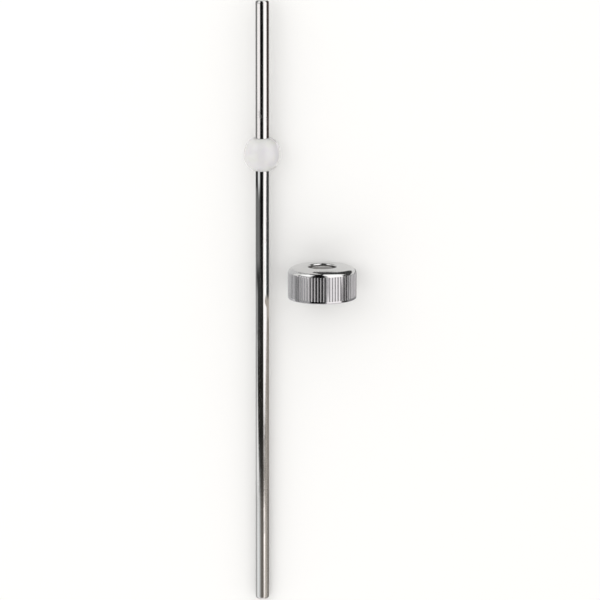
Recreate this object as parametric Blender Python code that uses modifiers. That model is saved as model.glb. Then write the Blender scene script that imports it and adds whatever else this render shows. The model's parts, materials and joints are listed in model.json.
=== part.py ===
"""Ball rod and knurled cap nut of a basin pop-up waste, laid out as a spare-part set.

The rod lies along Y with its short end towards +Y and rests on its ball and on its long end.
The nut lies beside it on the knurl, with its holed end towards +Y. The surface is z = 0, and
the origin is under the middle of the set.
"""

import math

import bmesh
import bpy
from mathutils import Matrix

# Rod and ball, in metres.
ROD_DIAMETER = 0.0050
ROD_LENGTH = 0.2250
ROD_END_ROUND = 0.0011
BALL_DIAMETER = 0.0137
BALL_FLAT_WIDTH = 0.00075  # ring of flat face round the rod, on either side of the ball
SHORT_END = 0.0577  # ball centre to the rod's short end
KEY_GROOVE_DEPTH = 0.0005  # groove in the rod that holds the ball along it
KEY_GROOVE_WIDTH = 0.0022

# Nut, in metres. Depths count from the closed face.
THREAD_DIAMETER = 0.0220
THREAD_PITCH = 0.0010
THREAD_RELIEF_WIDTH = 0.0012
THREAD_LEAD_IN = 0.00015
NUT_WALL = 0.00155  # outside the thread
NUT_HEIGHT = 0.0118
BALL_LIP = 0.0017  # how far the hole's edge reaches in over the ball
HOLE_WALL = 0.0010  # straight part of the hole, above the ball's seat
END_THICKNESS = 0.0024
CROWN = 0.00045  # how much lower the closed face is at the shoulder than at the hole
SHOULDER_ROUND = 0.0020
HOLE_ROUND = 0.0006
RIM_CHAMFER = 0.00025
THREAD_CREST_RELIEF = 0.00015  # the thread relief is this much deeper than the thread
KNURL_COUNT = 72
KNURL_DEPTH = 0.00028
KNURL_RUN_IN = 0.0004  # how far the knurl reaches up into the rounded shoulder
PLAIN_LAND = 0.0010  # smooth band left at the open end

# Layout and clearances, in metres.
NUT_APART = 0.00685  # clear width between the rod and the nut
NUT_SETBACK = 0.0466  # ball centre to the nut's middle, towards the long end
SOLID_GAP = 0.0003  # between two solids that touch in the real set
SEAT_CLEARANCE = 0.00015

# Resolution of the round shapes.
ROD_STEPS = 36
BALL_STEPS = 48
BALL_ARC_STEPS = 20
ROUND_STEPS = 5

# Worked out from the sizes above.
ROD_RADIUS = ROD_DIAMETER / 2
LONG_END = ROD_LENGTH - SHORT_END
KEY_RADIUS = ROD_RADIUS - KEY_GROOVE_DEPTH
BALL_RADIUS = BALL_DIAMETER / 2
BALL_HALF_LENGTH = math.sqrt(BALL_RADIUS**2 - (ROD_RADIUS + BALL_FLAT_WIDTH) ** 2)
THREAD_RADIUS = THREAD_DIAMETER / 2
THREAD_HEIGHT = THREAD_PITCH * math.sqrt(3) / 2
THREAD_MINOR_RADIUS = THREAD_RADIUS - THREAD_HEIGHT * 5 / 8
RELIEF_RADIUS = THREAD_RADIUS + THREAD_CREST_RELIEF
NUT_RADIUS = THREAD_RADIUS + NUT_WALL
HOLE_RADIUS = BALL_RADIUS - BALL_LIP
CROWN_SLOPE = math.atan(CROWN / (NUT_RADIUS - SHOULDER_ROUND - HOLE_RADIUS - HOLE_ROUND))
KNURL_START = CROWN + SHOULDER_ROUND - KNURL_RUN_IN
NUT_SPACING = ROD_RADIUS + NUT_APART + NUT_RADIUS  # rod axis to nut axis


def rod_tilt():
    """Angle at which the rod lies when its ball and the rounded edge of its long end touch z = 0."""
    along = LONG_END - ROD_END_ROUND
    across = ROD_RADIUS - ROD_END_ROUND
    drop = BALL_RADIUS - ROD_END_ROUND
    return math.asin(drop / math.hypot(along, across)) - math.atan2(across, along)


def arc(centre_r, centre_z, radius, start, end, steps):
    """Points (r, z) of an arc; the angles count from +r towards +z."""
    points = []
    for step in range(steps + 1):
        angle = start + (end - start) * step / steps
        points.append((centre_r + radius * math.cos(angle), centre_z + radius * math.sin(angle)))
    return points


def material(name, colour, roughness, metallic):
    made = bpy.data.materials.new(name)
    made.use_nodes = True
    shader = made.node_tree.nodes["Principled BSDF"]
    shader.inputs["Base Color"].default_value = (*colour, 1.0)
    shader.inputs["Roughness"].default_value = roughness
    shader.inputs["Metallic"].default_value = metallic
    return made


def add_object(name, mesh, collection, parent):
    made = bpy.data.objects.new(name, mesh)
    collection.objects.link(made)
    made.parent = parent
    return made


def outline_mesh(name, points, closed):
    """A mesh of edges through the points (r, z), in the XZ plane."""
    edges = [(index, index + 1) for index in range(len(points) - 1)]
    if closed:
        edges.append((len(points) - 1, 0))
    mesh = bpy.data.meshes.new(name)
    mesh.from_pydata([(r, 0.0, z) for r, z in points], edges, [])
    return mesh


def turned(name, points, closed, steps, collection, parent):
    """A shape turned about its local Z axis, from a profile that runs down its outer side."""
    made = add_object(name, outline_mesh(name, points, closed), collection, parent)
    screw = made.modifiers.new("Turn", "SCREW")
    screw.steps = steps
    screw.render_steps = steps
    screw.use_merge_vertices = True
    screw.merge_threshold = 1e-6
    screw.use_smooth_shade = True
    return made


def even_shading(made):
    """Keeps flats flat and rounds round, without splitting the mesh."""
    made.modifiers.new("Shading", "WEIGHTED_NORMAL")


def cut(made, cutter):
    boolean = made.modifiers.new("Cut " + cutter.name, "BOOLEAN")
    boolean.operation = "DIFFERENCE"
    boolean.solver = "EXACT"
    boolean.object = cutter
    cutter.hide_render = True
    cutter.display_type = "WIRE"


def pivot_rod(collection, parent):
    """The plain round rod; its local origin is the ball's centre and +Z is its short end."""
    flat = ROD_RADIUS - ROD_END_ROUND
    quarter = math.pi / 2
    top = arc(flat, SHORT_END - ROD_END_ROUND, ROD_END_ROUND, quarter, 0.0, ROUND_STEPS)
    bottom = arc(flat, ROD_END_ROUND - LONG_END, ROD_END_ROUND, 0.0, -quarter, ROUND_STEPS)
    half_groove = KEY_GROOVE_WIDTH / 2
    groove = [
        (ROD_RADIUS, half_groove),
        (KEY_RADIUS, half_groove),
        (KEY_RADIUS, -half_groove),
        (ROD_RADIUS, -half_groove),
    ]
    points = [(0.0, SHORT_END)] + top + groove + bottom + [(0.0, -LONG_END)]
    made = turned("pivot_rod", points, False, ROD_STEPS, collection, parent)
    made.data.materials.append(material("rod_plating", (0.80, 0.80, 0.79), 0.10, 1.0))
    even_shading(made)
    return made


def pivot_ball(collection, parent):
    """The ball moulded on the rod, flat where the rod enters, with a rib in the rod's groove."""
    bore = ROD_RADIUS + SOLID_GAP
    rib = KEY_RADIUS + SOLID_GAP
    half_rib = KEY_GROOVE_WIDTH / 2 - SOLID_GAP
    edge = math.asin(BALL_HALF_LENGTH / BALL_RADIUS)
    points = arc(0.0, 0.0, BALL_RADIUS, edge, -edge, BALL_ARC_STEPS)
    points += [
        (bore, -BALL_HALF_LENGTH),
        (bore, -half_rib),
        (rib, -half_rib),
        (rib, half_rib),
        (bore, half_rib),
        (bore, BALL_HALF_LENGTH),
    ]
    made = turned("pivot_ball", points, True, BALL_STEPS, collection, parent)
    made.data.materials.append(material("ball_plastic", (0.84, 0.83, 0.82), 0.35, 0.0))
    even_shading(made)
    return made


def seat_arc():
    """Round seat for the ball on the inner edge of the hole, from the inner face up to the hole."""
    seat_radius = BALL_RADIUS + SEAT_CLEARANCE
    centre = -HOLE_WALL - math.sqrt(seat_radius**2 - HOLE_RADIUS**2)
    lower = math.asin((-END_THICKNESS - centre) / seat_radius)
    upper = math.acos(HOLE_RADIUS / seat_radius)
    return arc(0.0, centre, seat_radius, lower, upper, ROUND_STEPS)


def knurl_cutter(collection, parent):
    """Square bars standing on edge round the nut, which cut its straight V grooves."""
    lower = -NUT_HEIGHT + PLAIN_LAND
    length = -KNURL_START - lower
    side = KNURL_DEPTH * math.sqrt(2)
    size = Matrix.Diagonal((side, side, length, 1.0))
    edgewise = Matrix.Rotation(math.pi / 4, 4, "Z")
    place = Matrix.Translation((NUT_RADIUS, 0.0, lower + length / 2))
    bars = bmesh.new()
    for index in range(KNURL_COUNT):
        turn = Matrix.Rotation(2 * math.pi * index / KNURL_COUNT, 4, "Z")
        bmesh.ops.create_cube(bars, size=1.0, matrix=turn @ place @ edgewise @ size)
    mesh = bpy.data.meshes.new("knurl_cutter")
    bars.to_mesh(mesh)
    bars.free()
    return add_object("knurl_cutter", mesh, collection, parent)


def thread_cutter(collection, parent):
    """A V section swept along the thread's helix, from below the rim up into the relief."""
    end = -END_THICKNESS - THREAD_RELIEF_WIDTH / 2
    turns = math.ceil((NUT_HEIGHT + end) / THREAD_PITCH + 0.5)
    start = end - turns * THREAD_PITCH
    reach = THREAD_MINOR_RADIUS - THREAD_CREST_RELIEF
    half_width = (THREAD_RADIUS - reach) * math.tan(math.radians(30))
    section = [(THREAD_RADIUS, start), (reach, start - half_width), (reach, start + half_width)]
    swept = turned("thread_sweep", section, True, KNURL_COUNT, collection, parent)
    screw = swept.modifiers["Turn"]
    screw.screw_offset = THREAD_PITCH
    screw.iterations = turns
    screw.use_merge_vertices = False
    graph = bpy.context.evaluated_depsgraph_get()
    mesh = bpy.data.meshes.new_from_object(swept.evaluated_get(graph))
    bpy.data.objects.remove(swept)
    solid = bmesh.new()
    solid.from_mesh(mesh)
    bmesh.ops.holes_fill(solid, edges=solid.edges, sides=len(section))
    bmesh.ops.recalc_face_normals(solid, faces=solid.faces)
    solid.to_mesh(mesh)
    solid.free()
    return add_object("thread_cutter", mesh, collection, parent)


def retaining_nut(collection, cutters, parent):
    """The cap nut; its local origin is the middle of its closed face and +Z points out of it."""
    flank = math.pi / 2 - CROWN_SLOPE
    shoulder_centre = (NUT_RADIUS - SHOULDER_ROUND, -CROWN - SHOULDER_ROUND)
    shoulder = arc(*shoulder_centre, SHOULDER_ROUND, flank, 0.0, ROUND_STEPS)
    rim = [
        (NUT_RADIUS, RIM_CHAMFER - NUT_HEIGHT),
        (NUT_RADIUS - RIM_CHAMFER, -NUT_HEIGHT),
        (THREAD_RADIUS + THREAD_LEAD_IN, -NUT_HEIGHT),
    ]
    lead_in = THREAD_RADIUS + THREAD_LEAD_IN - THREAD_MINOR_RADIUS
    relief_bottom = -END_THICKNESS - THREAD_RELIEF_WIDTH
    inside = [
        (THREAD_MINOR_RADIUS, lead_in - NUT_HEIGHT),
        (THREAD_MINOR_RADIUS, relief_bottom - (RELIEF_RADIUS - THREAD_MINOR_RADIUS)),
        (RELIEF_RADIUS, relief_bottom),
        (RELIEF_RADIUS, -END_THICKNESS),
    ]
    hole = arc(HOLE_RADIUS + HOLE_ROUND, -HOLE_ROUND, HOLE_ROUND, math.pi, flank, ROUND_STEPS)
    points = shoulder + rim + inside + seat_arc() + hole
    made = turned("retaining_nut", points, True, KNURL_COUNT, collection, parent)
    made.data.materials.append(material("nut_plating", (0.78, 0.78, 0.78), 0.10, 1.0))
    cut(made, knurl_cutter(cutters, parent))
    cut(made, thread_cutter(cutters, parent))
    even_shading(made)
    return made


def axis_empty(name, collection, location, tilt):
    """An empty whose local Z points along +Y, raised by the tilt."""
    made = add_object(name, None, collection, None)
    made.location = location
    made.rotation_euler = (tilt - math.pi / 2, 0.0, 0.0)
    made.empty_display_size = BALL_DIAMETER
    return made


def new_collection(name):
    made = bpy.data.collections.new(name)
    bpy.context.scene.collection.children.link(made)
    return made


def build():
    for old in list(bpy.data.objects):
        bpy.data.objects.remove(old)
    parts = new_collection("basin_ball_rod_set")
    cutters = new_collection("cutters")

    tilt = rod_tilt()
    rod_x = (BALL_RADIUS - NUT_SPACING - NUT_RADIUS) / 2
    ball_y = (LONG_END - SHORT_END) / 2 * math.cos(tilt)
    rod_axis = axis_empty("rod_axis", parts, (rod_x, ball_y, BALL_RADIUS), tilt)
    pivot_rod(parts, rod_axis)
    pivot_ball(parts, rod_axis)

    closed_face_y = ball_y - NUT_SETBACK + NUT_HEIGHT / 2
    nut_place = (rod_x + NUT_SPACING, closed_face_y, NUT_RADIUS)
    nut_axis = axis_empty("nut_axis", parts, nut_place, 0.0)
    retaining_nut(parts, cutters, nut_axis)
    bpy.context.view_layer.update()


build()
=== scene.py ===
"""Looks of the ball rod and knurled cap nut of a basin pop-up waste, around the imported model."""

import json
import math

import bpy
from mathutils import Matrix, Vector


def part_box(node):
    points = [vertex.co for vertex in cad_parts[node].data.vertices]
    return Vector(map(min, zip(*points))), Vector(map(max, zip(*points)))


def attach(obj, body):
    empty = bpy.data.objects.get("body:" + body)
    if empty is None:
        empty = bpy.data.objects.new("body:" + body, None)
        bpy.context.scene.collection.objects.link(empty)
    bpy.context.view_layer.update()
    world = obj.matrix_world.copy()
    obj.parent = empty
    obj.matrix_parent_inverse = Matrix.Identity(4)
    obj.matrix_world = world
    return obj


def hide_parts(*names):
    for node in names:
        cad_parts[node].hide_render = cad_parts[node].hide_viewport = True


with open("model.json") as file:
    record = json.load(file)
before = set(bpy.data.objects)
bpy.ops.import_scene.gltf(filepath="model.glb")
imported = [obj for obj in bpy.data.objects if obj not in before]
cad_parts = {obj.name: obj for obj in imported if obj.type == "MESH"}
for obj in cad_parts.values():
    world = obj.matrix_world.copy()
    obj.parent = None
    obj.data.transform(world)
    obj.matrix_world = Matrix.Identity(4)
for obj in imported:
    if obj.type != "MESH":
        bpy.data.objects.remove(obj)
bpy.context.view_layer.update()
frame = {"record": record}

# Details of the pieces that the frame doesn't give, in metres.
EDGE_ROW = 0.00012  # a row of mesh this near a rounded edge keeps a long side's shading straight
ROD_END_ROUND = 0.0011
KEY_GROOVE_DEPTH = 0.0005  # of the groove in the rod that the ball's rib sits in
KEY_GROOVE_WIDTH = 0.0022
FIT = 0.00002  # the finished ball grips the rod this closely
BALL_FLAT_EDGE = 0.00018  # bevel round the flats where the rod enters the ball
KNURL_COUNT = 72
KNURL_DEPTH = 0.00028
KNURL_START = 0.00205  # from the nut's closed face
KNURL_RUN_OUT = 0.00012  # the grooves end over this length
SHOULDER_END_INSETS = (0.00004, 0.00001)  # the shoulder's last two rows lie this far inside the side
PLAIN_LAND = 0.0010  # plain strip at the nut's open end
CROWN = 0.00045  # how much lower the closed face is at the shoulder than at the hole
SHOULDER_ROUND = 0.0020
HOLE_ROUND = 0.0006
RIM_CHAMFER = 0.00025
HOLE_RADIUS = 0.00515
HOLE_WALL = 0.0010
SEAT_RADIUS = 0.0070
END_THICKNESS = 0.0024
THREAD_RADIUS = 0.0110
THREAD_PITCH = 0.0010
THREAD_DEPTH = 0.00054
THREAD_LEAD_IN = 0.00015
THREAD_RELIEF_WIDTH = 0.0012
THREAD_RELIEF_DEPTH = 0.00015
THREAD_ROWS = 8  # rows of mesh in one pitch
THREAD_STEEPNESS = 2.6  # tooth heights that a flank would rise in one pitch
THREAD_FLAT = 0.15  # tooth heights that the flat root and the flat crest each cut off
COLUMNS = 96  # points round the rod and round the ball
SHARP_ANGLE = math.radians(28)  # edges bent further than this stay sharp

# Places, from the frame.
MOUNTS = {mount["name"]: mount for mount in frame["record"]["mounts"]}
SHORT_END = Vector(MOUNTS["rod_short_end_face"]["pos_m"])
LONG_END = Vector(MOUNTS["rod_long_end_face"]["pos_m"])
ROD_LOW, ROD_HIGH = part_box("pivot_rod")
BALL_LOW, BALL_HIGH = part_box("pivot_ball")
NUT_LOW, NUT_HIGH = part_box("retaining_nut")
ROD_RADIUS = (ROD_HIGH.x - ROD_LOW.x) / 2
BALL_RADIUS = (BALL_HIGH.x - BALL_LOW.x) / 2
NUT_RADIUS = (NUT_HIGH.x - NUT_LOW.x) / 2
NUT_HEIGHT = NUT_HIGH.y - NUT_LOW.y
NUT_FACE = Vector(((NUT_LOW.x + NUT_HIGH.x) / 2, NUT_HIGH.y, NUT_LOW.z + NUT_RADIUS))
ROD_AXIS = (SHORT_END - LONG_END).normalized()
ROD_TILT = math.asin(ROD_AXIS.z)
BALL_CENTRE = LONG_END + ROD_AXIS * (((BALL_LOW + BALL_HIGH) / 2 - LONG_END).dot(ROD_AXIS))


# ---------------------------------------------------------------- mesh helpers


def arc(centre_r, centre_z, radius, start, end, steps):
    """Points (r, z) of an arc; the angles count from +r towards +z."""
    points = []
    for step in range(steps + 1):
        angle = start + (end - start) * step / steps
        points.append((centre_r + radius * math.cos(angle), centre_z + radius * math.sin(angle)))
    return points


def even_angles(count):
    """Angles of that many points round a ring."""
    return [2 * math.pi * index / count for index in range(count)]


def ring(angles, radius, z):
    """Points of a plain ring at those angles."""
    return [(radius * math.cos(a), radius * math.sin(a), z) for a in angles]


def skin(name, rings, looped):
    """A closed mesh over rings of points; the first and last ring are capped or joined."""
    columns = len(rings[0])
    points = [point for one in rings for point in one]
    faces = []
    for row in range(len(rings) if looped else len(rings) - 1):
        here = row * columns
        below = (row + 1) % len(rings) * columns
        for column in range(columns):
            after = (column + 1) % columns
            faces.append((here + column, below + column, below + after, here + after))
    if not looped:
        last = (len(rings) - 1) * columns
        faces.append(tuple(range(columns)))
        faces.append(tuple(last + column for column in reversed(range(columns))))
    mesh = bpy.data.meshes.new(name)
    mesh.from_pydata(points, [], faces)
    mesh.validate()
    mesh.shade_smooth()
    mesh.set_sharp_from_angle(angle=SHARP_ANGLE)
    return mesh


def place(name, mesh, origin, axis, body, node, material):
    """Puts a turned mesh with its +Z along axis, on a CAD body, in place of a CAD node."""
    side = Vector((1.0, 0.0, 0.0))
    front = axis.cross(side).normalized()
    mesh.transform(Matrix((side, front, axis)).transposed().to_4x4())
    mesh.materials.append(material)
    piece = bpy.data.objects.new(name, mesh)
    bpy.context.scene.collection.objects.link(piece)
    piece.location = origin
    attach(piece, body)
    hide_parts(node)
    return piece


# ---------------------------------------------------------------- material helpers


class Nodes:
    """Short calls for building one material's node tree."""

    def __init__(self, name, tilt=0.0):
        self.tilt = tilt
        self.material = bpy.data.materials.new(name)
        self.material.use_nodes = True
        self.tree = self.material.node_tree
        self.shader = self.tree.nodes["Principled BSDF"]
        self.coordinates = self.add("ShaderNodeTexCoord").outputs["Object"]

    def add(self, kind, **values):
        node = self.tree.nodes.new(kind)
        for key, value in values.items():
            setattr(node, key, value)
        return node

    def link(self, source, target):
        self.tree.links.new(source, target)

    def noise(self, size, stretch=1.0, detail=3.0, roughness=0.5):
        """Noise with features of that size in metres, stretched along the piece's own axis."""
        mapping = self.add("ShaderNodeMapping", vector_type="TEXTURE")
        mapping.inputs["Rotation"].default_value = (self.tilt, 0.0, 0.0)
        mapping.inputs["Scale"].default_value = (size, size * stretch, size)
        self.link(self.coordinates, mapping.inputs["Vector"])
        noise = self.add("ShaderNodeTexNoise")
        noise.inputs["Scale"].default_value = 1.0
        noise.inputs["Detail"].default_value = detail
        noise.inputs["Roughness"].default_value = roughness
        self.link(mapping.outputs["Vector"], noise.inputs["Vector"])
        return noise.outputs["Fac"]

    def spread(self, source, low, high, to_low, to_high):
        """The source's range from low to high, mapped to another range and kept in it."""
        node = self.add("ShaderNodeMapRange")
        node.inputs["From Min"].default_value = low
        node.inputs["From Max"].default_value = high
        node.inputs["To Min"].default_value = to_low
        node.inputs["To Max"].default_value = to_high
        self.link(source, node.inputs["Value"])
        return node.outputs["Result"]

    def maths(self, operation, first, second):
        node = self.add("ShaderNodeMath", operation=operation)
        for value, socket in ((first, node.inputs[0]), (second, node.inputs[1])):
            if isinstance(value, float):
                socket.default_value = value
            else:
                self.link(value, socket)
        return node.outputs["Value"]

    def blend(self, factor, first, second):
        """A colour between two, each a colour or another node's output."""
        node = self.add("ShaderNodeMix", data_type="RGBA")
        self.link(factor, node.inputs["Factor"])
        for value, socket in ((first, node.inputs[6]), (second, node.inputs[7])):
            if isinstance(value, tuple):
                socket.default_value = (*value, 1.0)
            else:
                self.link(value, socket)
        return node.outputs[2]

    def bump(self, height, depth, before=None):
        node = self.add("ShaderNodeBump")
        node.inputs["Strength"].default_value = 1.0
        node.inputs["Distance"].default_value = depth
        self.link(height, node.inputs["Height"])
        if before is not None:
            self.link(before, node.inputs["Normal"])
        return node.outputs["Normal"]

    def set(self, **values):
        """Sets or links the shader's inputs; an underscore in a name stands for a space."""
        for key, value in values.items():
            socket = self.shader.inputs[key.replace("_", " ")]
            if isinstance(value, (float, tuple)):
                socket.default_value = value
            else:
                self.link(value, socket)


def rod_chrome():
    """Bright chrome over drawn rod: fine lines along it, cloudy patches, smears and small pits."""
    made = Nodes("rod_chrome", ROD_TILT)
    lines = made.noise(0.00022, stretch=60.0, detail=2.0)
    clouds = made.noise(0.0035, stretch=3.0, detail=3.0)
    grains = made.noise(0.0006, stretch=2.0, detail=2.0)
    smears = made.noise(0.0022, stretch=4.0, detail=4.0, roughness=0.6)
    dull = (0.58, 0.575, 0.565)
    clean = (0.66, 0.66, 0.655)
    stain = (0.46, 0.44, 0.42)
    plating = made.blend(clouds, dull, clean)
    colour = made.blend(made.spread(grains, 0.62, 0.78, 0.0, 0.45), plating, stain)
    cloudy = made.spread(clouds, 0.35, 0.7, 0.06, 0.13)
    drawn = made.spread(lines, 0.3, 0.7, 0.0, 0.05)
    smeared = made.spread(smears, 0.60, 0.72, 0.0, 0.16)
    rough = made.maths("ADD", made.maths("ADD", cloudy, drawn), smeared)
    relief = made.bump(grains, 0.000004, made.bump(lines, 0.0000016))
    made.set(Base_Color=colour, Roughness=rough, Metallic=1.0, Normal=relief)
    return made.material


def nut_chrome():
    """Bright chrome on brass: mirror-like on the ridges, duller in the grooves and the bore, whose
    colour is also darkened with painted shade.
    """
    made = Nodes("nut_chrome")
    clouds = made.noise(0.003, detail=3.0)
    grains = made.noise(0.0005, detail=2.0)
    split = made.add("ShaderNodeSeparateXYZ")
    made.link(made.coordinates, split.inputs["Vector"])
    x, height, z = (split.outputs[axis] for axis in "XYZ")  # height is 0 at the closed face
    radius = made.maths("ADD", made.maths("MULTIPLY", x, x), made.maths("MULTIPLY", z, z))
    radius = made.maths("SQRT", radius, 0.0)
    # Radii of the groove mask: at the first the grooves take full painted shade in their colour and a
    # duller, less metallic finish; at the second, plain ridge.
    shaded_dull_groove_radius = NUT_RADIUS - KNURL_DEPTH * 0.5
    clear_glossy_ridge_radius = NUT_RADIUS - KNURL_DEPTH * 0.05
    ridge = made.spread(radius, shaded_dull_groove_radius, clear_glossy_ridge_radius, 0.0, 1.0)
    thread_blur = 0.0004
    inside = made.spread(radius, THREAD_RADIUS, THREAD_RADIUS + thread_blur, 1.0, 0.0)
    face = made.spread(height, -KNURL_START, KNURL_RUN_OUT - KNURL_START, 0.0, 1.0)
    # Heights of the bore mask: deeper than the first the bore is fully darkened with painted shade and
    # rougher; above the second, neither.
    shaded_dull_below = -0.0016
    unshaded_clean_above = -0.0007
    bore = made.maths("MULTIPLY", inside, made.spread(height, shaded_dull_below, unshaded_clean_above, 1.0, 0.0))
    smooth = made.maths("MAXIMUM", face, inside)
    bright = made.maths("MAXIMUM", smooth, ridge)
    dull = (0.58, 0.58, 0.58)
    clean = (0.66, 0.66, 0.655)
    stain = (0.46, 0.45, 0.44)
    plating = made.blend(clouds, dull, clean)
    plating = made.blend(made.spread(grains, 0.62, 0.8, 0.0, 0.3), plating, stain)
    # Painted shade: the grooves' colour is darker than the ridges'.
    groove_painted_shade_colour = (0.47, 0.465, 0.475)
    ridge_colour = (0.52, 0.515, 0.525)
    knurl_with_painted_shade = made.blend(ridge, groove_painted_shade_colour, ridge_colour)
    # Painted shade: a dark colour deep in the bore, which the bore mask lays over the plating.
    bore_painted_shade_colour = (0.27, 0.26, 0.255)
    colour = made.blend(bore, made.blend(smooth, knurl_with_painted_shade, plating), bore_painted_shade_colour)
    cloudy = made.spread(clouds, 0.35, 0.7, 0.07, 0.13)
    dulled = made.spread(bright, 0.0, 1.0, 0.45, 0.0)
    rough = made.maths("ADD", made.maths("ADD", cloudy, dulled), made.spread(bore, 0.0, 1.0, 0.0, 0.2))
    metal = made.spread(bright, 0.0, 1.0, 0.25, 1.0)
    made.set(Base_Color=colour, Roughness=rough, Metallic=metal, Normal=made.bump(grains, 0.000004))
    return made.material


def ball_plastic():
    """Milky plastic that lets some light through, with a fine moulded grain."""
    made = Nodes("ball_milk", ROD_TILT)
    clouds = made.noise(0.004, detail=2.0)
    grain = made.noise(0.00035, detail=2.0)
    cool_white = (0.695, 0.68, 0.70)
    warm_white = (0.715, 0.715, 0.69)
    colour = made.blend(made.spread(clouds, 0.35, 0.65, 0.0, 1.0), cool_white, warm_white)
    rough = made.spread(clouds, 0.3, 0.7, 0.17, 0.23)
    made.set(Base_Color=colour, Roughness=rough, IOR=1.56, Normal=made.bump(grain, 0.000006))
    made.set(Subsurface_Weight=0.6, Subsurface_Radius=(1.0, 0.95, 0.9), Subsurface_Scale=0.0035)
    return made.material


# ---------------------------------------------------------------- pieces


def make_rod():
    """The rod, with its local origin at the ball's centre and +Z towards the short end."""
    upper = (SHORT_END - BALL_CENTRE).length
    lower = -(LONG_END - BALL_CENTRE).length
    flat = ROD_RADIUS - ROD_END_ROUND
    quarter = math.pi / 2
    half = KEY_GROOVE_WIDTH / 2
    key = ROD_RADIUS - KEY_GROOVE_DEPTH
    straight_top = upper - ROD_END_ROUND - EDGE_ROW
    straight_end = lower + ROD_END_ROUND + EDGE_ROW
    profile = arc(flat, upper - ROD_END_ROUND, ROD_END_ROUND, quarter, 0.0, steps=12)
    profile += [(ROD_RADIUS, straight_top), (ROD_RADIUS, half), (key, half)]
    profile += [(key, -half), (ROD_RADIUS, -half), (ROD_RADIUS, straight_end)]
    profile += arc(flat, lower + ROD_END_ROUND, ROD_END_ROUND, 0.0, -quarter, steps=12)
    angles = even_angles(COLUMNS)
    mesh = skin("rod_chromed", [ring(angles, r, z) for r, z in profile], looped=False)
    look = rod_chrome()
    place("rod_chromed", mesh, BALL_CENTRE, ROD_AXIS, "ball_rod", "pivot_rod", look)


def make_ball():
    """The ball, with flats whose edges are bevelled a little, and a bore that fits the rod."""
    slope = math.asin((BALL_HIGH.y - BALL_LOW.y) / 2 / BALL_RADIUS) - ROD_TILT
    half = BALL_RADIUS * math.sin(slope)
    body = arc(0.0, 0.0, BALL_RADIUS, slope, -slope, steps=48)
    rim = body[0][0] - BALL_FLAT_EDGE
    bore = ROD_RADIUS + FIT
    rib = ROD_RADIUS - KEY_GROOVE_DEPTH + FIT
    rib_end = KEY_GROOVE_WIDTH / 2 - FIT
    profile = [(rim, half)] + body[1:-1] + [(rim, -half)]
    profile += [(bore, -half), (bore, -rib_end), (rib, -rib_end)]
    profile += [(rib, rib_end), (bore, rib_end), (bore, half)]
    angles = even_angles(COLUMNS)
    mesh = skin("ball_moulded", [ring(angles, r, z) for r, z in profile], looped=True)
    look = ball_plastic()
    place("ball_moulded", mesh, BALL_CENTRE, ROD_AXIS, "ball_rod", "pivot_ball", look)


def knurl_angles():
    """For each V groove, one lip, its root and the other lip; a ridge lies straight up."""
    lip = KNURL_DEPTH / NUT_RADIUS
    angles = []
    for index in range(KNURL_COUNT):
        root = 2 * math.pi * (index + 0.5) / KNURL_COUNT
        angles += [root - lip, root, root + lip]
    return angles


def knurled_ring(angles, radius, z):
    """A ring whose every third point, from the second on, lies at the root of a groove."""
    points = []
    for index, angle in enumerate(angles):
        r = radius - KNURL_DEPTH if index % 3 == 1 else radius
        points.append((r * math.cos(angle), r * math.sin(angle), z))
    return points


def threaded_ring(angles, z, start):
    """A ring through a right-handed V thread, whose ridge climbs as the angle grows."""
    points = []
    for angle in angles:
        phase = ((z - start) / THREAD_PITCH - angle / (2 * math.pi)) % 1.0
        tooth = min(1.0, max(0.0, abs(phase - 0.5) * THREAD_STEEPNESS - THREAD_FLAT))
        r = THREAD_RADIUS - THREAD_DEPTH * tooth
        points.append((r * math.cos(angle), r * math.sin(angle), z))
    return points


def thread_rings(angles):
    """Rings through the whole thread, up from the nut's open end."""
    low = -NUT_HEIGHT + THREAD_LEAD_IN + THREAD_DEPTH
    high = -END_THICKNESS - THREAD_RELIEF_WIDTH - THREAD_DEPTH
    rows = math.ceil((high - low) / THREAD_PITCH * THREAD_ROWS)
    return [threaded_ring(angles, low + (high - low) * row / rows, low) for row in range(rows + 1)]


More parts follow.
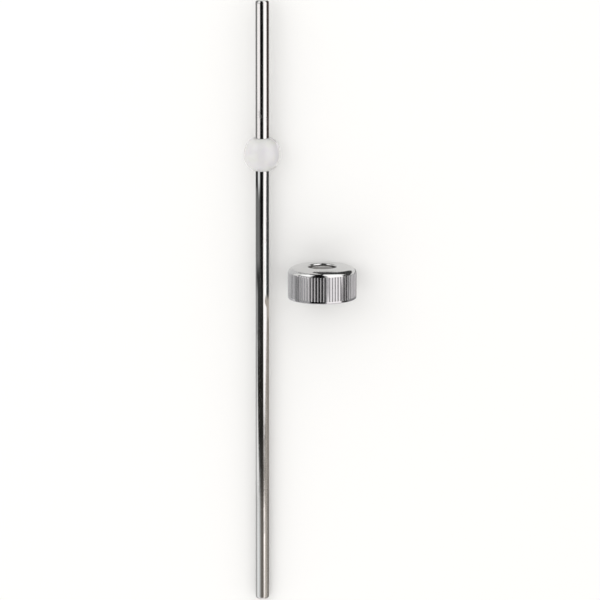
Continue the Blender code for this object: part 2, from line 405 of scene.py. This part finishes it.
def make_nut():
    """The nut, with its local origin in the middle of its closed face and +Z out of that face."""
    angles = knurl_angles()
    land = PLAIN_LAND - NUT_HEIGHT
    flat = NUT_RADIUS - SHOULDER_ROUND
    flank = math.pi / 2 - math.atan(CROWN / (flat - HOLE_RADIUS - HOLE_ROUND))
    shoulder = arc(flat, -CROWN - SHOULDER_ROUND, SHOULDER_ROUND, flank, 0.0, steps=16)
    rings = [ring(angles, r, z) for r, z in shoulder if z > -KNURL_START + KNURL_RUN_OUT]
    above, below = (NUT_RADIUS - inset for inset in SHOULDER_END_INSETS)
    rings.append(ring(angles, above, -KNURL_START + KNURL_RUN_OUT))
    rings.append(knurled_ring(angles, below, -KNURL_START))
    rings.append(knurled_ring(angles, NUT_RADIUS, -KNURL_START - EDGE_ROW))
    rings.append(knurled_ring(angles, NUT_RADIUS, land + EDGE_ROW))
    rings.append(knurled_ring(angles, NUT_RADIUS, land))
    rings.append(ring(angles, NUT_RADIUS, land - KNURL_RUN_OUT))
    rim = [
        (NUT_RADIUS, RIM_CHAMFER - NUT_HEIGHT),
        (NUT_RADIUS - RIM_CHAMFER, -NUT_HEIGHT),
        (THREAD_RADIUS + THREAD_LEAD_IN, -NUT_HEIGHT),
    ]
    rings += [ring(angles, r, z) for r, z in rim]
    rings += thread_rings(angles)
    relief = THREAD_RADIUS + THREAD_RELIEF_DEPTH
    rings.append(ring(angles, relief, -END_THICKNESS - THREAD_RELIEF_WIDTH))
    rings.append(ring(angles, relief, -END_THICKNESS))
    centre = -HOLE_WALL - math.sqrt(SEAT_RADIUS**2 - HOLE_RADIUS**2)
    lower = math.asin((-END_THICKNESS - centre) / SEAT_RADIUS)
    seat = arc(0.0, centre, SEAT_RADIUS, lower, math.acos(HOLE_RADIUS / SEAT_RADIUS), steps=8)
    hole = arc(HOLE_RADIUS + HOLE_ROUND, -HOLE_ROUND, HOLE_ROUND, math.pi, flank, steps=12)
    rings += [ring(angles, r, z) for r, z in seat + hole]
    mesh = skin("nut_knurled", rings, looped=True)
    axis = Vector((0.0, 1.0, 0.0))
    place("nut_knurled", mesh, NUT_FACE, axis, "nut", "retaining_nut", nut_chrome())


# ---------------------------------------------------------------- studio

CAMERA_TILT = math.radians(11.4)  # from straight down, towards the rod's short end
FRAME_WIDTH = 0.2198  # metres across the square picture at the rod
LENS = 1000.0
SENSOR = 36.0
TENT_RADIUS = 0.35
TENT_HALF_LENGTH = 0.80
LEFT_SCREEN_DISTANCE = 0.0033  # rod axis to the low screen beside it
RIGHT_SCREEN_DISTANCE = 0.0050
SCREEN_BEHIND = 0.0005  # the nut's screen stands this far behind the rod's right one
NUT_SCREEN_HEIGHT = 0.0158
SCREEN_FOOT = 0.0001  # every low screen ends this far over the floor
CARD_HEIGHT = 0.0002


def step(value, low, high):
    """0 below low, 1 above high, smooth between."""
    t = min(1.0, max(0.0, (value - low) / (high - low)))
    return t * t * (3 - 2 * t)


def window(value, low, high, soft):
    """1 from low to high, falling to 0 over the soft width outside."""
    return step(value, low - soft, low) * (1 - step(value, high, high + soft))


def ramp(value, *stops):
    """Straight lines through (value, level) stops, in rising order, and level beyond them."""
    if value <= stops[0][0]:
        return stops[0][1]
    for (before, low), (after, high) in zip(stops, stops[1:]):
        if value <= after:
            return low + (high - low) * (value - before) / (after - before)
    return stops[-1][1]


class Light:
    """A colour that panels are laid over, one after the other."""

    def __init__(self, level):
        self.colour = Vector((level, level, level))

    def panel(self, cover, level, tint=(1.0, 1.0, 1.0)):
        self.colour = self.colour.lerp(Vector(tint) * level, cover)


WARM = (1.0, 0.91, 0.82)
PINK = (1.0, 0.965, 0.965)
COOL = (0.975, 0.99, 1.0)
HIGHLIGHT = (1.0, 0.94, 0.90)


def lean(angle):
    """How far past a place on the rod, towards the long end, the tent's point lies that it mirrors."""
    steepest = math.tan(CAMERA_TILT + ROD_TILT) + math.tan(ROD_TILT) * math.cos(math.radians(angle))
    return TENT_RADIUS * steepest


def tent_light(angle, here):
    """Light of the tent, by the angle in degrees from straight up towards +X, and by the place
    along the rod that mirrors it."""
    upper = step(here, -0.0015, 0.0055)
    lower = 1 - upper
    above_ball = window(here, 0.060, 0.15, 0.005)
    far = step(here, 0.28, 0.34)
    foot = 1 - step(here, -0.084, -0.071)
    light = Light(0.58)

    # The left edge of the upper stretch: grey, and bright above the ball.
    light.panel(upper * (1 - above_ball) * (1 - step(angle, -84, -80)), 0.30)
    light.panel(above_ball * window(angle, -95, -40, 5), 1.45, PINK)

    # The right side: soft grey in the lower stretch, then the bright stripe, which ends halfway
    # down that stretch, then the dark edge of the upper stretch.
    grey = ramp(angle, (12, 0.15), (37, 0.26), (60, 0.46), (85, 0.58))
    start = ramp(here, (0.025, 22), (0.040, 28))
    end = ramp(here, (-0.045, 44), (-0.019, 62), (-0.0015, 82), (0.007, 64), (0.046, 65), (0.057, 73))
    light.panel(lower * window(angle, 12, 95, 4), grey, WARM)
    light.panel(window(angle, start, end, 8) * step(here, -0.0515, -0.0455), 1.65, PINK)
    light.panel(upper * (1 - far) * step(angle, end + 2, end + 7), 0.06, PINK)

    # Bright sides past the short end, which the nut's rounded shoulder mirrors.
    light.panel(far * window(abs(angle), 45, 100, 8), 1.6)

    # The left side of the lower stretch, and the dark stripe down the middle of both.
    edge = ramp(here, (-0.084, -32), (-0.065, -66), (-0.050, -79), (-0.035, -88), (-0.003, -92))
    edge_level = ramp(here, (-0.053, 1.25), (-0.019, 0.6))
    light.panel(lower * (1 - step(angle, edge - 5, edge + 5)), edge_level)
    light.panel(lower * window(angle, edge + 6, 11, 5), 0.025, WARM)
    light.panel(upper * window(angle, -34, 12, 6), 0.006)

    # The foot: cool and bright on the left, warm on the right, and a highlight between them.
    light.panel(foot, 0.22, WARM)
    light.panel(foot * (1 - step(angle, -72, -14)), 1.15, COOL)
    light.panel(foot * window(angle, 55, 95, 15), 0.58, WARM)
    spot = ramp(here, (-0.079, 35), (-0.069, 43))
    spot_cover = (1 - step(here, -0.087, -0.077)) * window(angle, spot - 6, spot + 7, 15)
    spot_level = ramp(here, (-0.112, 1.3), (-0.100, 1.8), (-0.090, 2.1), (-0.080, 2.8))
    light.panel(spot_cover, spot_level, HIGHLIGHT)
    return light.colour


def end_light(across):
    """Light of the tent's far end, by the place across it from -1 to 1: dark to past its middle."""
    light = Light(1.6)
    light.panel(window(across, -0.95, 0.12, 0.08), 0.02)
    return light.colour


def left_screen_light(angle, here):
    """Light of the low screen on the rod's left, by the same angle and place as the tent's."""
    light = Light(0.055)
    light.panel(1 - step(angle, -118, -98), 0.32)
    light.panel(window(here, 0.016, 0.036, 0.008) * window(angle, -95, -52, 12), 0.26)
    light.panel(window(here, 0.0460, 0.060, 0.010) * window(angle, -74, -44, 8), 1.1, COOL)
    light.panel(window(here, 0.0435, 0.052, 0.003) * window(angle, -126, -90, 6), 0.015)
    light.panel((1 - step(here, 0.000, 0.010)) * (1 - step(angle, -84, -76)), 0.46)
    light.panel(step(here, 0.052, 0.056), 0.30)
    lower = 1 - step(here, -0.016, -0.012)
    bright = ramp(here, (-0.075, 0.9), (-0.064, 1.25), (-0.045, 1.2), (-0.026, 0.80), (-0.013, 0.72))
    light.panel(lower, bright)
    light.panel(lower * (1 - step(angle, -122, -108)), 0.40)
    return light.colour


def right_screen_light(angle, here):
    """Light of the low screen on the rod's right, by the same angle and place as the tent's."""
    light = Light(0.08)
    light.panel(step(here, 0.045, 0.055), 0.08, (1.0, 0.75, 0.72))
    light.panel(1 - step(angle, 68, 72), 1.65)
    light.panel(1 - step(here, -0.006, 0.002), 0.36, WARM)
    light.panel(window(here, -0.006, -0.001, 0.003), 0.60, WARM)
    light.panel(1 - step(here, -0.080, -0.060), 0.24, WARM)
    return light.colour


def reflection_only(thing):
    """Seen only in reflections: hidden from the camera, lighting nothing and casting no shadow."""
    thing.visible_camera = False
    thing.visible_diffuse = False
    thing.visible_transmission = False
    thing.visible_volume_scatter = False
    thing.visible_shadow = False


def glow_material(name, one_sided):
    """A material that glows with the mesh's own colours, and lights nothing by itself."""
    material = bpy.data.materials.new(name)
    material.use_nodes = True
    tree = material.node_tree
    tree.nodes.clear()
    read = tree.nodes.new("ShaderNodeAttribute")
    read.attribute_name = "light"
    glow = tree.nodes.new("ShaderNodeEmission")
    out = tree.nodes.new("ShaderNodeOutputMaterial")
    tree.links.new(read.outputs["Color"], glow.inputs["Color"])
    tree.links.new(glow.outputs["Emission"], out.inputs["Surface"])
    if one_sided:
        side = tree.nodes.new("ShaderNodeNewGeometry")
        clear = tree.nodes.new("ShaderNodeBsdfTransparent")
        mix = tree.nodes.new("ShaderNodeMixShader")
        tree.links.new(side.outputs["Backfacing"], mix.inputs[0])
        tree.links.new(glow.outputs["Emission"], mix.inputs[1])
        tree.links.new(clear.outputs["BSDF"], mix.inputs[2])
        tree.links.new(mix.outputs["Shader"], out.inputs["Surface"])
    material.cycles.emission_sampling = "NONE"
    return material


def make_screen(name, rows, shade, one_sided=False):
    """A surface over a grid of points, which glows with the colour that shade gives each point.
    A one-sided screen glows only on the side that its faces point to, and is clear from behind."""
    columns = len(rows[0])
    faces = []
    for row in range(len(rows) - 1):
        for column in range(columns - 1):
            corner = row * columns + column
            faces.append((corner, corner + 1, corner + columns + 1, corner + columns))
    mesh = bpy.data.meshes.new(name)
    mesh.from_pydata([point for row in rows for point in row], [], faces)
    layer = mesh.color_attributes.new("light", "FLOAT_COLOR", "POINT")
    colours = [colour for row in shade for colour in row]
    for item, colour in zip(layer.data, colours):
        item.color = (*colour, 1.0)
    mesh.materials.append(glow_material(name, one_sided))
    screen = bpy.data.objects.new(name, mesh)
    bpy.context.scene.collection.objects.link(screen)
    reflection_only(screen)


def spaced(low, high, count):
    """The ends and the points between them of that many even steps."""
    return [low + (high - low) * index / count for index in range(count + 1)]


def make_tent():
    """A half-round tent over the set, along the rod."""
    angles = spaced(-90, 90, count=150)
    places = spaced(-TENT_HALF_LENGTH, TENT_HALF_LENGTH, count=420)
    rows = []
    for along in places:
        row = []
        for angle in angles:
            x = SHORT_END.x + TENT_RADIUS * math.sin(math.radians(angle))
            row.append((x, along, BALL_CENTRE.z + TENT_RADIUS * math.cos(math.radians(angle))))
        rows.append(row)
    shades = [[tent_light(angle, along + lean(angle)) for angle in angles] for along in places]
    make_screen("tent", rows, shades)


def make_tent_end():
    """The tent's end past the rod's short end."""
    across = spaced(-1.0, 1.0, count=80)
    rows = [
        [(SHORT_END.x + TENT_RADIUS * part, TENT_HALF_LENGTH, height) for part in across]
        for height in (0.0, TENT_RADIUS)
    ]
    make_screen("tent_end", rows, [[end_light(part) for part in across]] * 2)


def screen_height(distance, angle):
    """Height over the rod's axis of the place on a low screen that the rod mirrors at that angle."""
    facing = math.radians(angle / 2)
    reach = distance - ROD_RADIUS * math.sin(facing)
    return ROD_RADIUS * math.cos(facing) + reach / math.tan(math.radians(angle))


def make_rod_screen(name, offset, top, shade):
    """A low upright screen beside the rod; top gives the angle that it reaches up to."""
    side = math.copysign(1, offset)
    past_long_end = 0.010
    past_short_end = 0.004
    lowest_angle = 150
    places = spaced(LONG_END.y - past_long_end, SHORT_END.y + past_short_end, count=460)
    rows = []
    shades = []
    for here in places:
        height = LONG_END.z + (here - LONG_END.y) * math.tan(ROD_TILT)
        angles = spaced(top(here), lowest_angle, count=40)
        heights = [height + screen_height(abs(offset), angle) for angle in angles]
        rows.append([(SHORT_END.x + offset, here, max(SCREEN_FOOT, z)) for z in heights])
        shades.append([shade(side * angle, here) for angle in angles])
    if side > 0:  # so that its faces point at the rod too
        rows.reverse()
        shades.reverse()
    make_screen(name, rows, shades, one_sided=True)


def left_screen_top(here):
    """It stands high only beside the upper stretch, below the ball."""
    return ramp(here, (-0.012, 92), (-0.008, 38), (0.050, 38), (0.053, 93))


def right_screen_top(here):
    """Beside the nut it also reaches up far enough to keep the nut's dark image out of the rod."""
    return ramp(here, (-0.004, 92), (-0.002, 44), (0.020, 44), (0.022, 80))


def make_card(name, low_x, high_x, low_y, high_y, level):
    """A glowing card that lies on the floor."""
    rows = [[(x, y, CARD_HEIGHT) for x in (low_x, high_x)] for y in (low_y, high_y)]
    make_screen(name, rows, [[Light(level).colour] * 2] * 2)


def make_nut_screen():
    """A low upright screen between the rod and the nut, which only the nut's side sees."""
    x = SHORT_END.x + RIGHT_SCREEN_DISTANCE + SCREEN_BEHIND
    past_rim = 0.02
    past_face = 0.01
    level = 0.78
    heights = (NUT_SCREEN_HEIGHT, SCREEN_FOOT)
    places = (NUT_LOW.y - past_rim, NUT_HIGH.y + past_face)
    rows = [[(x, y, z) for z in heights] for y in places]
    make_screen("nut_screen", rows, [[Light(level).colour] * 2] * 2, one_sided=True)


def make_floor_cards():
    """Cards beside the set, mirrored in the nut's sides, and others past its closed face, mirrored
    in its shoulder."""
    margin = 0.0015
    left_near = -0.09
    right_near = 0.16
    front_low = NUT_FACE.y + 0.0085
    front_high = 0.15
    make_card("left_card", left_near, ROD_LOW.x - margin, ROD_LOW.y, NUT_FACE.y, 0.95)
    make_card("far_left_card", -TENT_RADIUS, left_near, ROD_LOW.y, NUT_FACE.y, 0.36)
    make_card("right_card", NUT_HIGH.x + margin, right_near, ROD_LOW.y, NUT_FACE.y, 0.38)
    make_card("far_right_card", right_near, TENT_RADIUS, ROD_LOW.y, NUT_FACE.y, 0.06)
    make_card("front_card", NUT_FACE.x - 0.004, TENT_RADIUS, front_low, front_high, 0.07)
    make_card("far_front_card", -0.20, NUT_FACE.x + 0.008, front_high, TENT_HALF_LENGTH, 0.02)


def make_floor():
    """A plain pale matt sheet under the set, which mirrors none of the cards."""
    half = 3.0
    mesh = bpy.data.meshes.new("floor")
    corners = [(-half, -half, 0.0), (half, -half, 0.0), (half, half, 0.0), (-half, half, 0.0)]
    mesh.from_pydata(corners, [], [(0, 1, 2, 3)])
    made = Nodes("floor")
    paper = (0.95, 0.945, 0.935, 1.0)
    made.set(Base_Color=paper, Roughness=0.85, Specular_IOR_Level=0.0)
    mesh.materials.append(made.material)
    floor = bpy.data.objects.new("floor", mesh)
    bpy.context.scene.collection.objects.link(floor)


def make_world():
    """Even soft light from all round, in the pale tone that shows past the floor's edge."""
    world = bpy.data.worlds.new("studio")
    world.use_nodes = True
    sky = world.node_tree.nodes["Background"]
    sky.inputs["Color"].default_value = (1.0, 0.995, 0.985, 1.0)
    sky.inputs["Strength"].default_value = 1.0
    bpy.context.scene.world = world


def make_softbox():
    """One large soft light from above and to the left, for faint shadows."""
    light = bpy.data.lights.new("softbox", "AREA")
    light.shape = "RECTANGLE"
    light.size = 0.6
    light.size_y = 0.8
    light.energy = 1.2
    softbox = bpy.data.objects.new("softbox", light)
    bpy.context.scene.collection.objects.link(softbox)
    softbox.location = (-0.5, 0.3, 0.9)
    softbox.rotation_mode = "QUATERNION"
    softbox.rotation_quaternion = (-softbox.location).to_track_quat("-Z", "Y")
    softbox.visible_camera = False
    softbox.visible_glossy = False


def make_camera():
    """A long lens, looking down on the set and tilted a little so that the nut's end shows."""
    back = Vector((0.0, math.sin(CAMERA_TILT), math.cos(CAMERA_TILT)))
    up = Vector((0.0, math.cos(CAMERA_TILT), -math.sin(CAMERA_TILT)))
    right = up.cross(back)
    data = bpy.data.cameras.new("camera")
    data.lens = LENS
    data.sensor_width = SENSOR
    data.clip_end = 20.0
    camera = bpy.data.objects.new("camera", data)
    bpy.context.scene.collection.objects.link(camera)
    aim = (SHORT_END + LONG_END) / 2
    aim.x = 0.0  # the middle of the whole set, not of the rod
    distance = FRAME_WIDTH * LENS / SENSOR
    turn = Matrix((right, up, back)).transposed().to_4x4()
    camera.matrix_world = Matrix.Translation(aim + back * distance) @ turn
    bpy.context.scene.camera = camera


make_rod()
make_ball()
make_nut()
make_floor()
make_world()
make_softbox()
make_tent()
make_tent_end()
make_rod_screen("left_screen", -LEFT_SCREEN_DISTANCE, left_screen_top, left_screen_light)
make_rod_screen("right_screen", RIGHT_SCREEN_DISTANCE, right_screen_top, right_screen_light)
make_nut_screen()
make_floor_cards()
make_camera()
bpy.context.scene.view_settings.view_transform = "Standard"
